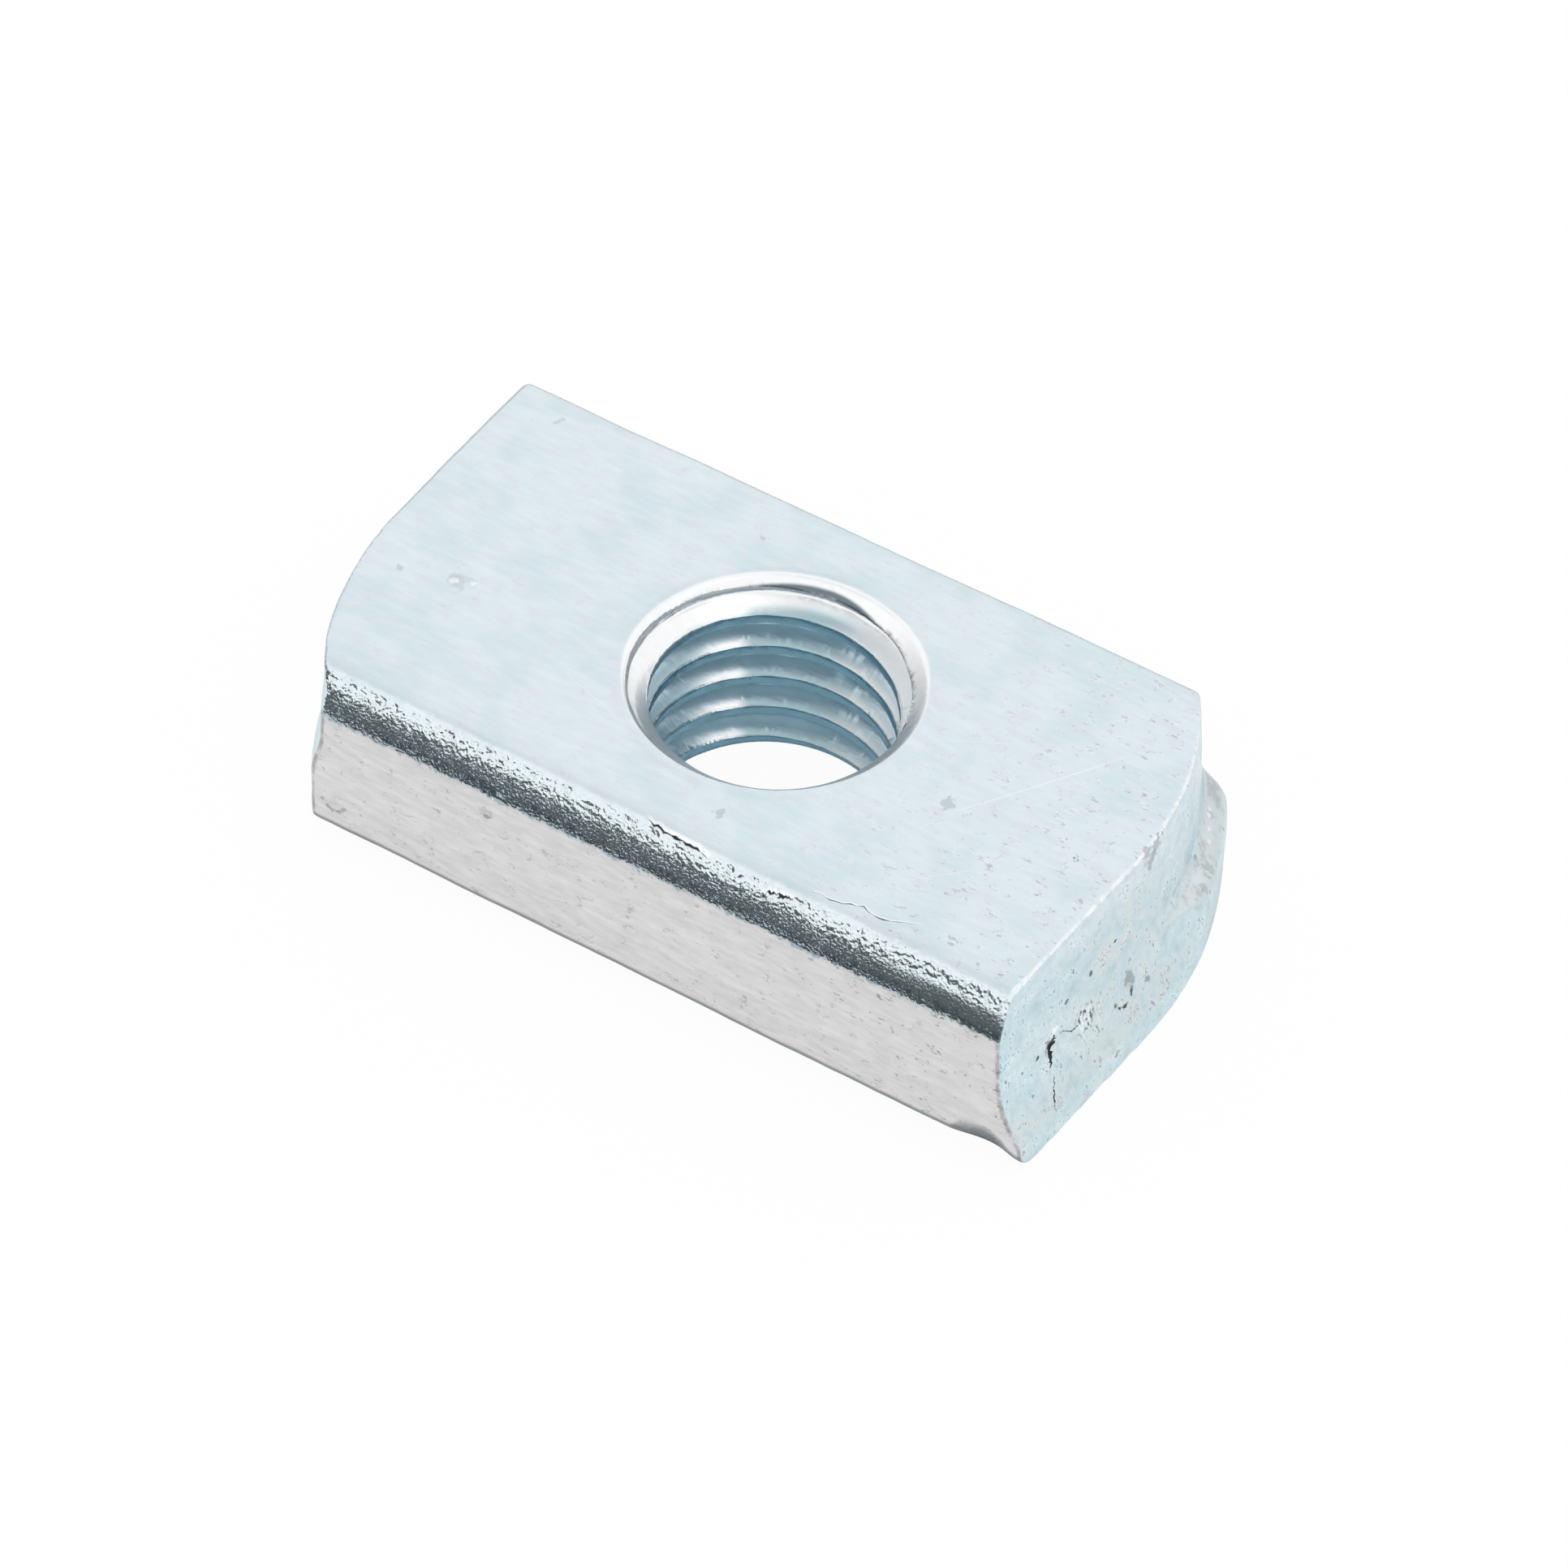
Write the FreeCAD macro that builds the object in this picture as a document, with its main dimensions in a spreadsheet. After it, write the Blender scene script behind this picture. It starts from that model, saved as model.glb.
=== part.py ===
"""Rail nut: one solid of drawn steel bar, sheared, trimmed at two opposite corners, drilled and tapped.

Frame: the origin is on the bore's axis at the base face, +Z points up through the top face,
+X runs along the bar to its right end and +Y points to the back. Lengths are in millimetres
and angles in degrees.
"""

import FreeCAD, Part
import enum
import math
import os
import Sketcher

SIZES = {
    # Section of the drawn bar
    "bar_width": 20.4,
    "bar_height": 8.9,
    "top_round": 1.45,
    "base_round": 1.2,
    # Lower layer: how far its ends and its two turned corners stand from the bore's axis
    "foot_reach": 18.7,
    # The right end is sheared a little out of square
    "end_skew": 2.6,
    # Right end: set back at the top edge, the wall leans out and flares to the foot
    "right_end_setback": 1.5,
    "right_end_lean": 4.0,
    "right_end_step_height": 4.6,
    "right_end_hollow": 6.0,
    "right_end_slope": 30.0,
    "right_end_crown": 0.6,
    # Right turned corner: the upper layer is trimmed back as far and leaves a ledge
    "right_corner_setback": 1.5,
    "right_corner_lean": 4.0,
    "right_corner_step_height": 4.1,
    "right_corner_hollow": 0.5,
    "right_corner_slope": 55.0,
    "right_corner_crown": 1.4,
    # Left end and left turned corner: a shallow step of the same kind
    "left_setback": 0.45,
    "left_lean": 1.0,
    "left_step_height": 5.7,
    "left_hollow": 4.0,
    "left_slope": 15.0,
    "left_crown": 4.0,
    # Bore at its tapping diameter, with a countersink at each mouth
    "bore_diameter": 10.2,
    "top_countersink_depth": 1.05,
    "base_countersink_depth": 0.3,
    "countersink_angle": 90.0,
    # Coarse right-hand thread: its groove starts this far below the base, on the right of the axis
    "thread_pitch": 1.75,
    "thread_depth": 0.9,
    "thread_angle": 60.0,
    "thread_start": 1.1,
    # How far the cutting profiles run past the bar
    "cut_margin": 2.0,
}

NODE_NAME = "rail_nut"
CORNER_SWEEP = 90.0
FULL_TURN = 360.0
RIGHT_ANGLE = 90.0
LEFT_TURN = 180.0
MATCH_TOLERANCE = 1e-6
SMALLEST_CUT = 0.1
# A groove's flat root, and how far its section reaches into the bore, as shares of the pitch
ROOT_SHARE = 0.125
REACH_SHARE = 0.08


class Tip(enum.IntEnum):
    """How a sketch counts the two tips of a line or an arc."""

    START = 1
    END = 2


class Axis(enum.IntEnum):
    """How a sketch counts its own axes. Its origin is the horizontal one's start."""

    HORIZONTAL = -1
    VERTICAL = -2


ORIGIN_POINT = (Axis.HORIZONTAL, Tip.START)


def make_sheet(doc):
    """Write the driving dimensions to a spreadsheet, one aliased cell each."""
    sheet = doc.addObject("Spreadsheet::Sheet", "sizes")
    for row, (alias, value) in enumerate(SIZES.items(), start=1):
        sheet.set(f"A{row}", alias)
        sheet.set(f"B{row}", str(value))
        sheet.setAlias(f"B{row}", alias)
    doc.recompute()
    return sheet


def mm(text):
    """Expression text for a length worked out from the sheet's cells."""
    return f"({text}) * 1 mm"


def degrees(text):
    """Expression text for an angle worked out from the sheet's cells."""
    return f"({text}) * 1 deg"


def point(x, y):
    """A point in a sketch's own plane."""
    return FreeCAD.Vector(x, y, 0.0)


def new_sketch(body, name, role):
    """A sketch on the body's own origin plane with this role."""
    sketch = body.newObject("Sketcher::SketchObject", name)
    for feature in body.Origin.OriginFeatures:
        if feature.Role == role:
            sketch.AttachmentSupport = [(feature, "")]
    sketch.MapMode = "FlatFace"
    return sketch


def turn_sketch(sketch, expression):
    """Turn an upright sketch about the bore's axis, clockwise as seen from above."""
    down = FreeCAD.Vector(0.0, -1.0, 0.0)
    any_turn = FreeCAD.Rotation(down, RIGHT_ANGLE)
    sketch.AttachmentOffset = FreeCAD.Placement(FreeCAD.Vector(), any_turn)
    sketch.setExpression("AttachmentOffset.Rotation.Angle", degrees(expression))


def hold(sketch, name, kind, references, drawn, expression):
    """Add a dimension to a sketch at its drawn value and bind it to the sheet."""
    index = sketch.addConstraint(Sketcher.Constraint(kind, *references, drawn))
    sketch.renameConstraint(index, name)
    sketch.setExpression(f"Constraints.{name}", expression)


def hold_x(sketch, name, geometry, end, expression):
    """Hold how far a point lies to the right of the sketch's origin."""
    drawn = sketch.getPoint(geometry, end).x
    hold(sketch, name, "DistanceX", (*ORIGIN_POINT, geometry, end), drawn, mm(expression))


def hold_y(sketch, name, geometry, end, expression):
    """Hold how far a point lies above the sketch's origin."""
    drawn = sketch.getPoint(geometry, end).y
    hold(sketch, name, "DistanceY", (*ORIGIN_POINT, geometry, end), drawn, mm(expression))


def hold_below(sketch, name, geometry, end, expression):
    """Hold how far a point lies below the sketch's origin."""
    drawn = -sketch.getPoint(geometry, end).y
    hold(sketch, name, "DistanceY", (geometry, end, *ORIGIN_POINT), drawn, mm(expression))


def hold_radius(sketch, name, arc, expression):
    """Hold an arc's radius."""
    hold(sketch, name, "Radius", (arc,), sketch.Geometry[arc].Radius, mm(expression))


def hold_angle(sketch, name, line, expression):
    """Hold a line's angle, counted from the sketch's horizontal to the line's own direction."""
    along = sketch.getPoint(line, Tip.END) - sketch.getPoint(line, Tip.START)
    hold(sketch, name, "Angle", (line,), math.atan2(along.y, along.x), degrees(expression))


def relate(sketch, kind, *references):
    """Add a geometric constraint to a sketch."""
    sketch.addConstraint(Sketcher.Constraint(kind, *references))


def draw_loop(sketch, corners):
    """Draw a closed run of straight lines through the corners, and return their numbers."""
    following = corners[1:] + corners[:1]
    lines = [sketch.addGeometry(Part.LineSegment(a, b), False) for a, b in zip(corners, following)]
    for line, successor in zip(lines, lines[1:] + lines[:1]):
        relate(sketch, "Coincident", line, Tip.END, successor, Tip.START)
    return lines


def sketch_bar_section(body):
    """Upright section of the bar: as wide as the nut, standing on the base plane."""
    half = SIZES["bar_width"] / 2
    height = SIZES["bar_height"]
    sketch = new_sketch(body, "bar_section", "YZ_Plane")
    corners = [point(-half, 0), point(half, 0), point(half, height), point(-half, height)]
    base, right, top, left = draw_loop(sketch, corners)
    relate(sketch, "PointOnObject", base, Tip.START, Axis.HORIZONTAL)
    relate(sketch, "Horizontal", base)
    relate(sketch, "Vertical", right)
    relate(sketch, "Vertical", left)
    relate(sketch, "Symmetric", top, Tip.START, top, Tip.END, Axis.VERTICAL)
    hold_y(sketch, "bar_height", right, Tip.END, "sizes.bar_height")
    width_ends = (base, Tip.START, base, Tip.END)
    hold(sketch, "bar_width", "DistanceX", width_ends, 2 * half, mm("sizes.bar_width"))
    return sketch


def sketch_step(body, name, prefix, turn):
    """Section of what is cut away outside a stepped wall, with the bore's axis as its upright.

    From the top down the wall leans out to the step, turns outward through a hollow, runs down
    a slope and turns down again over a crown to the foot's own reach.
    """
    size = {key: SIZES[f"{prefix}_{key}"] for key in ("step_height", "hollow", "crown")}
    lean = math.radians(SIZES[f"{prefix}_lean"])
    slope = math.radians(SIZES[f"{prefix}_slope"])
    foot = SIZES["foot_reach"]
    top_reach = foot - SIZES[f"{prefix}_setback"]
    height = SIZES["bar_height"]
    margin = SIZES["cut_margin"]
    outer = foot + margin + SIZES["bar_width"] / 2

    # Where each stretch of the wall ends, from the same sizes that hold the sketch below
    wall_foot = point(top_reach + (height - size["step_height"]) * math.tan(lean), size["step_height"])
    wall_head = point(top_reach - margin * math.tan(lean), height + margin)
    lean_normal = point(math.cos(lean), math.sin(lean))
    slope_normal = point(math.cos(slope), math.sin(slope))
    hollow_centre = wall_foot + lean_normal * size["hollow"]
    slope_head = hollow_centre - slope_normal * size["hollow"]
    slope_foot_x = foot - size["crown"] * (1 - math.cos(slope))
    slope_foot_y = slope_head.y - (slope_foot_x - slope_head.x) / math.tan(slope)
    slope_foot = point(slope_foot_x, slope_foot_y)
    crown_centre = slope_foot - slope_normal * size["crown"]
    foot_head = point(foot, crown_centre.y)
    foot_base = point(foot, -margin)

    sketch = new_sketch(body, name, "XZ_Plane")
    turn_sketch(sketch, turn)
    upright = FreeCAD.Vector(0.0, 0.0, 1.0)
    crown_circle = Part.Circle(crown_centre, upright, size["crown"])
    hollow_circle = Part.Circle(hollow_centre, upright, size["hollow"])
    foot_line = sketch.addGeometry(Part.LineSegment(foot_base, foot_head), False)
    crown_arc = sketch.addGeometry(Part.ArcOfCircle(crown_circle, 0.0, slope), False)
    slope_line = sketch.addGeometry(Part.LineSegment(slope_foot, slope_head), False)
    hollow_arc = sketch.addGeometry(
        Part.ArcOfCircle(hollow_circle, math.pi + lean, math.pi + slope), False)
    wall_line = sketch.addGeometry(Part.LineSegment(wall_foot, wall_head), False)
    top_line = sketch.addGeometry(Part.LineSegment(wall_head, point(outer, height + margin)), False)
    outer_line = sketch.addGeometry(
        Part.LineSegment(point(outer, height + margin), point(outer, -margin)), False)
    base_line = sketch.addGeometry(Part.LineSegment(point(outer, -margin), foot_base), False)
    top_edge = sketch.addGeometry(Part.Point(point(top_reach, height)), True)

    relate(sketch, "Tangent", foot_line, Tip.END, crown_arc, Tip.START)
    relate(sketch, "Tangent", crown_arc, Tip.END, slope_line, Tip.START)
    relate(sketch, "Tangent", slope_line, Tip.END, hollow_arc, Tip.END)
    relate(sketch, "Tangent", hollow_arc, Tip.START, wall_line, Tip.START)
    relate(sketch, "Coincident", wall_line, Tip.END, top_line, Tip.START)
    relate(sketch, "Coincident", top_line, Tip.END, outer_line, Tip.START)
    relate(sketch, "Coincident", outer_line, Tip.END, base_line, Tip.START)
    relate(sketch, "Coincident", base_line, Tip.END, foot_line, Tip.START)
    relate(sketch, "Vertical", foot_line)
    relate(sketch, "Vertical", outer_line)
    relate(sketch, "Horizontal", top_line)
    relate(sketch, "Horizontal", base_line)
    relate(sketch, "PointOnObject", top_edge, Tip.START, wall_line)

    hold_x(sketch, "foot_reach", foot_line, Tip.START, "sizes.foot_reach")
    past_corners = "sizes.foot_reach + sizes.cut_margin + sizes.bar_width / 2"
    hold_x(sketch, "outer_reach", outer_line, Tip.START, past_corners)
    hold_x(sketch, "top_reach", top_edge, Tip.START, f"sizes.foot_reach - sizes.{prefix}_setback")
    hold_y(sketch, "top_height", top_edge, Tip.START, "sizes.bar_height")
    hold_y(sketch, "cut_height", outer_line, Tip.START, "sizes.bar_height + sizes.cut_margin")
    hold_y(sketch, "step_height", wall_line, Tip.START, f"sizes.{prefix}_step_height")
    hold_below(sketch, "cut_depth", foot_line, Tip.START, "sizes.cut_margin")
    hold_radius(sketch, "hollow", hollow_arc, f"sizes.{prefix}_hollow")
    hold_radius(sketch, "crown", crown_arc, f"sizes.{prefix}_crown")
    hold_angle(sketch, "slope", slope_line, f"{RIGHT_ANGLE} + sizes.{prefix}_slope")
    hold_angle(sketch, "lean", wall_line, f"{RIGHT_ANGLE} + sizes.{prefix}_lean")
    return sketch


def sketch_bore_section(body):
    """Half section of the bore and its two countersinks, from the axis outwards."""
    bore = SIZES["bore_diameter"] / 2
    top_depth = SIZES["top_countersink_depth"]
    base_depth = SIZES["base_countersink_depth"]
    height = SIZES["bar_height"]
    margin = SIZES["cut_margin"]
    spread = math.tan(math.radians(SIZES["countersink_angle"] / 2))
    top_rim = bore + top_depth * spread
    base_rim = bore + base_depth * spread
    sketch = new_sketch(body, "bore_section", "XZ_Plane")
    corners = [
        point(0, -margin),
        point(base_rim, -margin),
        point(base_rim, 0),
        point(bore, base_depth),
        point(bore, height - top_depth),
        point(top_rim, height),
        point(top_rim, height + margin),
        point(0, height + margin),
    ]
    below, base_lip, base_cone, wall, top_cone, top_lip, above, axis = draw_loop(sketch, corners)
    for line in (base_lip, wall, top_lip, axis):
        relate(sketch, "Vertical", line)
    for line in (below, above):
        relate(sketch, "Horizontal", line)
    relate(sketch, "PointOnObject", below, Tip.START, Axis.VERTICAL)
    relate(sketch, "PointOnObject", base_cone, Tip.START, Axis.HORIZONTAL)
    hold_below(sketch, "cut_depth", below, Tip.START, "sizes.cut_margin")
    hold_x(sketch, "bore", wall, Tip.START, "sizes.bore_diameter / 2")
    hold_y(sketch, "base_depth", wall, Tip.START, "sizes.base_countersink_depth")
    hold_y(sketch, "wall_head", wall, Tip.END, "sizes.bar_height - sizes.top_countersink_depth")
    hold_y(sketch, "bar_height", top_lip, Tip.START, "sizes.bar_height")
    hold_y(sketch, "cut_height", above, Tip.START, "sizes.bar_height + sizes.cut_margin")
    half_angle = "sizes.countersink_angle / 2"
    hold_angle(sketch, "base_cone", base_cone, f"{RIGHT_ANGLE} + {half_angle}")
    hold_angle(sketch, "top_cone", top_cone, f"{RIGHT_ANGLE} - {half_angle}")
    return sketch


def sketch_thread_section(body):
    """Section of the thread's groove where it starts: a trapezoid open to the bore."""
    pitch = SIZES["thread_pitch"]
    wall = SIZES["bore_diameter"] / 2
    start = SIZES["thread_start"]
    flank = math.radians(SIZES["thread_angle"] / 2)
    root = wall + SIZES["thread_depth"]
    mouth = wall - REACH_SHARE * pitch
    root_half = ROOT_SHARE * pitch / 2
    mouth_half = root_half + (root - mouth) * math.tan(flank)
    sketch = new_sketch(body, "thread_section", "XZ_Plane")
    corners = [
        point(mouth, -start - mouth_half),
        point(root, -start - root_half),
        point(root, -start + root_half),
        point(mouth, -start + mouth_half),
    ]
    lower_flank, root_line, upper_flank, mouth_line = draw_loop(sketch, corners)
    relate(sketch, "Vertical", root_line)
    relate(sketch, "Vertical", mouth_line)
    root_reach = "sizes.bore_diameter / 2 + sizes.thread_depth"
    hold_x(sketch, "root_reach", root_line, Tip.START, root_reach)
    mouth_reach = f"sizes.bore_diameter / 2 - {REACH_SHARE} * sizes.thread_pitch"
    hold_x(sketch, "mouth_reach", mouth_line, Tip.START, mouth_reach)
    root_foot = f"sizes.thread_start + {ROOT_SHARE / 2} * sizes.thread_pitch"
    hold_below(sketch, "root_foot", root_line, Tip.START, root_foot)
    root_ends = (root_line, Tip.START, root_line, Tip.END)
    root_flat = f"{ROOT_SHARE} * sizes.thread_pitch"
    hold(sketch, "root_flat", "DistanceY", root_ends, 2 * root_half, mm(root_flat))
    hold_angle(sketch, "lower_flank", lower_flank, "sizes.thread_angle / 2")
    hold_angle(sketch, "upper_flank", upper_flank, f"{LEFT_TURN} - sizes.thread_angle / 2")
    return sketch


def pad_bar(body):
    """The length of bar that the nut is cut from, still longer than the nut at both ends."""
    section = sketch_bar_section(body)
    pad = body.newObject("PartDesign::Pad", "bar")
    pad.Profile = section
    pad.SideType = "Symmetric"
    pad.setExpression("Length", mm("2 * sizes.foot_reach + sizes.cut_margin"))
    body.Document.recompute()
    return pad


def round_long_edges(body, base, name, at_height, radius):
    """Round the two edges that run the length of the bar at this height."""
    length = base.Shape.BoundBox.XLength
    edges = []
    for number, edge in enumerate(base.Shape.Edges, start=1):
        box = edge.BoundBox
        runs_along = abs(box.XLength - length) < MATCH_TOLERANCE
        if runs_along and abs(box.ZMin - at_height) < MATCH_TOLERANCE:
            edges.append(f"Edge{number}")
    fillet = body.newObject("PartDesign::Fillet", name)
    fillet.Base = (base, edges)
    fillet.setExpression("Radius", mm(radius))
    body.Document.recompute()
    return fillet


def check_cut(before, feature):
    """Stop if a cutting feature took nothing away."""
    removed = before - feature.Shape.Volume
    if removed < SMALLEST_CUT:
        raise RuntimeError(f"{feature.Name} removed {removed:.3f} cubic millimetres")


def cut_end(body, name, section):
    """Shear the bar to a stepped end, straight across its width."""
    before = body.Tip.Shape.Volume
    pocket = body.newObject("PartDesign::Pocket", name)
    pocket.Profile = section
    pocket.Type = "ThroughAll"
    pocket.SideType = "Symmetric"
    body.Document.recompute()
    check_cut(before, pocket)


def turn_away(body, name, section, sweep):
    """Turn a section about the bore's axis and take it away."""
    before = body.Tip.Shape.Volume
    groove = body.newObject("PartDesign::Groove", name)
    groove.Profile = section
    groove.ReferenceAxis = (section, ["V_Axis"])
    groove.Angle = sweep
    body.Document.recompute()
    check_cut(before, groove)


def cut_thread(body, name, section):
    """Sweep a groove's section up a right-hand helix, from below the base to above the top."""
    before = body.Tip.Shape.Volume
    helix = body.newObject("PartDesign::SubtractiveHelix", name)
    helix.Profile = section
    helix.ReferenceAxis = (section, ["V_Axis"])
    helix.Mode = "pitch-height-angle"
    helix.setExpression("Pitch", mm("sizes.thread_pitch"))
    helix.setExpression("Height", mm("sizes.bar_height + 2 * sizes.thread_start"))
    body.Document.recompute()
    check_cut(before, helix)


def make_rail_nut(doc):
    """The whole nut as one body: bar, rounded edges, ends, turned corners and tapped bore."""
    body = doc.addObject("PartDesign::Body", NODE_NAME)
    body.Label = NODE_NAME
    bar = pad_bar(body)
    topped = round_long_edges(body, bar, "top_edges", SIZES["bar_height"], "sizes.top_round")
    round_long_edges(body, topped, "base_edges", 0.0, "sizes.base_round")

    right_turn = "sizes.end_skew"
    left_turn = str(LEFT_TURN)
    right_end = sketch_step(body, "right_end_section", "right_end", right_turn)
    cut_end(body, "right_end", right_end)
    right_corner = sketch_step(body, "right_corner_section", "right_corner", right_turn)
    turn_away(body, "right_corner", right_corner, CORNER_SWEEP)
    left_end = sketch_step(body, "left_end_section", "left", left_turn)
    cut_end(body, "left_end", left_end)
    left_corner = sketch_step(body, "left_corner_section", "left", left_turn)
    turn_away(body, "left_corner", left_corner, CORNER_SWEEP)

    turn_away(body, "bore", sketch_bore_section(body), FULL_TURN)
    cut_thread(body, "thread", sketch_thread_section(body))
    return body


def check_document(doc):
    """Stop if any object failed to compute or any sketch is left loose."""
    for item in doc.Objects:
        if "Invalid" in item.State or "Error" in item.State:
            raise RuntimeError(f"{item.Name} failed: {item.State}")
        if item.TypeId == "Sketcher::SketchObject" and not item.FullyConstrained:
            raise RuntimeError(f"{item.Name} isn't fully constrained")


def export_body(body):
    """Check the finished solid and write it to its STEP file."""
    shape = body.Shape
    if shape.isNull() or not shape.isValid() or len(shape.Solids) != 1:
        raise RuntimeError(f"{body.Label} isn't one valid solid")
    os.makedirs("parts", exist_ok=True)
    shape.exportStep(f"parts/{body.Label}.step")
    box = shape.optimalBoundingBox()
    print(f"{body.Label}: {box.XLength:.2f} x {box.YLength:.2f} x {box.ZLength:.2f} mm,"
          f" {shape.Volume:.1f} cubic millimetres, {len(shape.Faces)} faces")


def main():
    """Build the document, check it and write the part."""
    doc = FreeCAD.newDocument("rail_nut_model")
    make_sheet(doc)
    body = make_rail_nut(doc)
    doc.recompute()
    check_document(doc)
    export_body(body)


main()
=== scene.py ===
"""Visual model of a zinc-plated rail nut, with its plating and the studio that it lies in.

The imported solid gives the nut's size and main form. Here a copy of it gets a smoother thread, is
remeshed finely, worn with the soft edges, laps and dents of a sheared and plated bar, and dressed
in bright zinc. Modelling is done at a thousand times life size, so one unit is a millimetre, and
the finished mesh is brought back to metres.
"""

import enum
import logging
import math
from dataclasses import dataclass, field

import bpy
import numpy as np
from mathutils import Matrix, Vector


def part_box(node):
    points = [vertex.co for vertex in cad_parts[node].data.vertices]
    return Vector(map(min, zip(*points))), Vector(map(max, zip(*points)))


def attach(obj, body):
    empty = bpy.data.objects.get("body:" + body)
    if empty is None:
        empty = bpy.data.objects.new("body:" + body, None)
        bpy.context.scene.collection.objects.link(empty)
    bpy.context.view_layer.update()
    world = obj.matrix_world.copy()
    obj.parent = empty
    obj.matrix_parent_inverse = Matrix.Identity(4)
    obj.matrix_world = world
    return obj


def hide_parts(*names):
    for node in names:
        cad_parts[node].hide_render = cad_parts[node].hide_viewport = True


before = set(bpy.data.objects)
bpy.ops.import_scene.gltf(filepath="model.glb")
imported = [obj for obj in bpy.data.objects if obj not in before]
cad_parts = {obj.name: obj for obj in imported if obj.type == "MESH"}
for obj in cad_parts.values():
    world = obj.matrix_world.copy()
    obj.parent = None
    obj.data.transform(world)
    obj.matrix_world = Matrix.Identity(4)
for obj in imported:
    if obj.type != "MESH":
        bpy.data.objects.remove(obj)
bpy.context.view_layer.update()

logging.basicConfig(level=logging.INFO, format="%(levelname)s %(message)s")
LOG = logging.getLogger("rail_nut")

MM = 0.001
NODE = "rail_nut"
BODY = "root"
FULL_TURN = 2.0 * math.pi
Colour = tuple[float, float, float, float]
Point = tuple[float, float, float]
Socket = bpy.types.NodeSocket


class Side(enum.Enum):
    """The nut's sides that carry dents and cracks, each with its outward normal."""

    TOP = (0.0, 0.0, 1.0)
    FRONT = (0.0, -1.0, 0.0)
    RIGHT = (1.0, 0.0, 0.0)


class Axis(enum.Enum):
    """The frame's axes, each with its place in a point."""

    X = 0
    Y = 1
    Z = 2


class Shade(enum.Enum):
    """The kinds of mark on the plating; the darkest also paints shade on the rims of dents."""

    # Dark soil, which also serves as painted shade on the lower rims of dents
    SOIL = "soil"
    GREY = "grey"
    WHITE = "white"


def select_only(piece: bpy.types.Object) -> None:
    """Deselect everything, then select a piece and make it active.

    Args:
        piece: The object to work on.
    """
    if bpy.context.mode != "OBJECT":
        bpy.ops.object.mode_set(mode="OBJECT")
    bpy.ops.object.select_all(action="DESELECT")
    piece.select_set(True)
    bpy.context.view_layer.objects.active = piece


def apply_modifier(piece: bpy.types.Object, kind: str, **settings: object) -> None:
    """Add a modifier to a piece, set it and apply it.

    Args:
        piece: The object to change.
        kind: The modifier's type.
        **settings: The modifier's properties and their values.
    """
    select_only(piece)
    bpy.ops.object.modifier_add(type=kind)
    modifier = piece.modifiers[-1]
    for name, value in settings.items():
        setattr(modifier, name, value)
    bpy.ops.object.modifier_apply(modifier=modifier.name)


def smooth_step(value: np.ndarray) -> np.ndarray:
    """Ease a value from 0 to 1, flat at both ends."""
    held = np.clip(value, 0.0, 1.0)
    return held * held * (3.0 - 2.0 * held)


class Relief:
    """Smooth seeded noise over space, for wear that no two places share."""

    def __init__(self, seed: int, wavelength: float, waves: int = 28) -> None:
        """Draw the waves that the noise is summed from.

        Args:
            seed: The random generator's seed.
            wavelength: The mean wavelength, in millimetres.
            waves: How many plane waves are summed.
        """
        rng = np.random.default_rng(seed)
        directions = rng.normal(size=(waves, 3))
        directions /= np.linalg.norm(directions, axis=1, keepdims=True)
        lengths = wavelength * rng.uniform(0.6, 1.7, size=waves)
        self.waves = directions * (FULL_TURN / lengths)[:, None]
        self.phases = rng.uniform(0.0, FULL_TURN, size=waves)

    def at(self, points: np.ndarray) -> np.ndarray:
        """Noise at each point, about -1 to 1."""
        total = np.sin(points @ self.waves.T + self.phases).sum(axis=1)
        return total / math.sqrt(len(self.phases) * 1.5)


@dataclass(frozen=True)
class Dimple:
    """A dent, or where its depth is negative a raised spot, on one side of the nut."""

    side: Side
    place: Point
    reach: float
    depth: float


@dataclass(frozen=True)
class Lap:
    """A hairline crack where a thin skin of metal was folded over, with a bright lip beside it.

    The route's points lie along one axis and across it, in millimetres.
    """

    side: Side
    run: Axis
    across: Axis
    route: tuple[tuple[float, float], ...]
    width: float
    lip: float
    seed: int
    fade: float = 0.025
    steps: int = 20
    jitter: float = 0.035

    def crooked(self) -> tuple[np.ndarray, np.ndarray]:
        """Draw the crack's crooked course at even steps along it.

        Returns:
            The crack's middle and half its width, at each step.
        """
        rng = np.random.default_rng(self.seed)
        share = np.linspace(0.0, 1.0, self.steps)
        along = self.route[0][0] + share * (self.route[-1][0] - self.route[0][0])
        middle = np.interp(along, *zip(*self.route)) + rng.normal(0.0, self.jitter, self.steps)
        taper = np.sqrt(np.sin(math.pi * share))
        half = self.width * taper * rng.uniform(0.35, 1.0, self.steps)
        return middle, half


@dataclass(frozen=True)
class Stain:
    """A small mark on the plating: a patch, or the painted shade on the rim of a round dent."""

    place: Point
    reach: float
    strength: float
    kind: Shade = Shade.GREY


@dataclass(frozen=True)
class Scratch:
    """A shallow bright scratch across the top, from one point to another."""

    start: tuple[float, float]
    end: tuple[float, float]
    width: float
    strength: float


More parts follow.
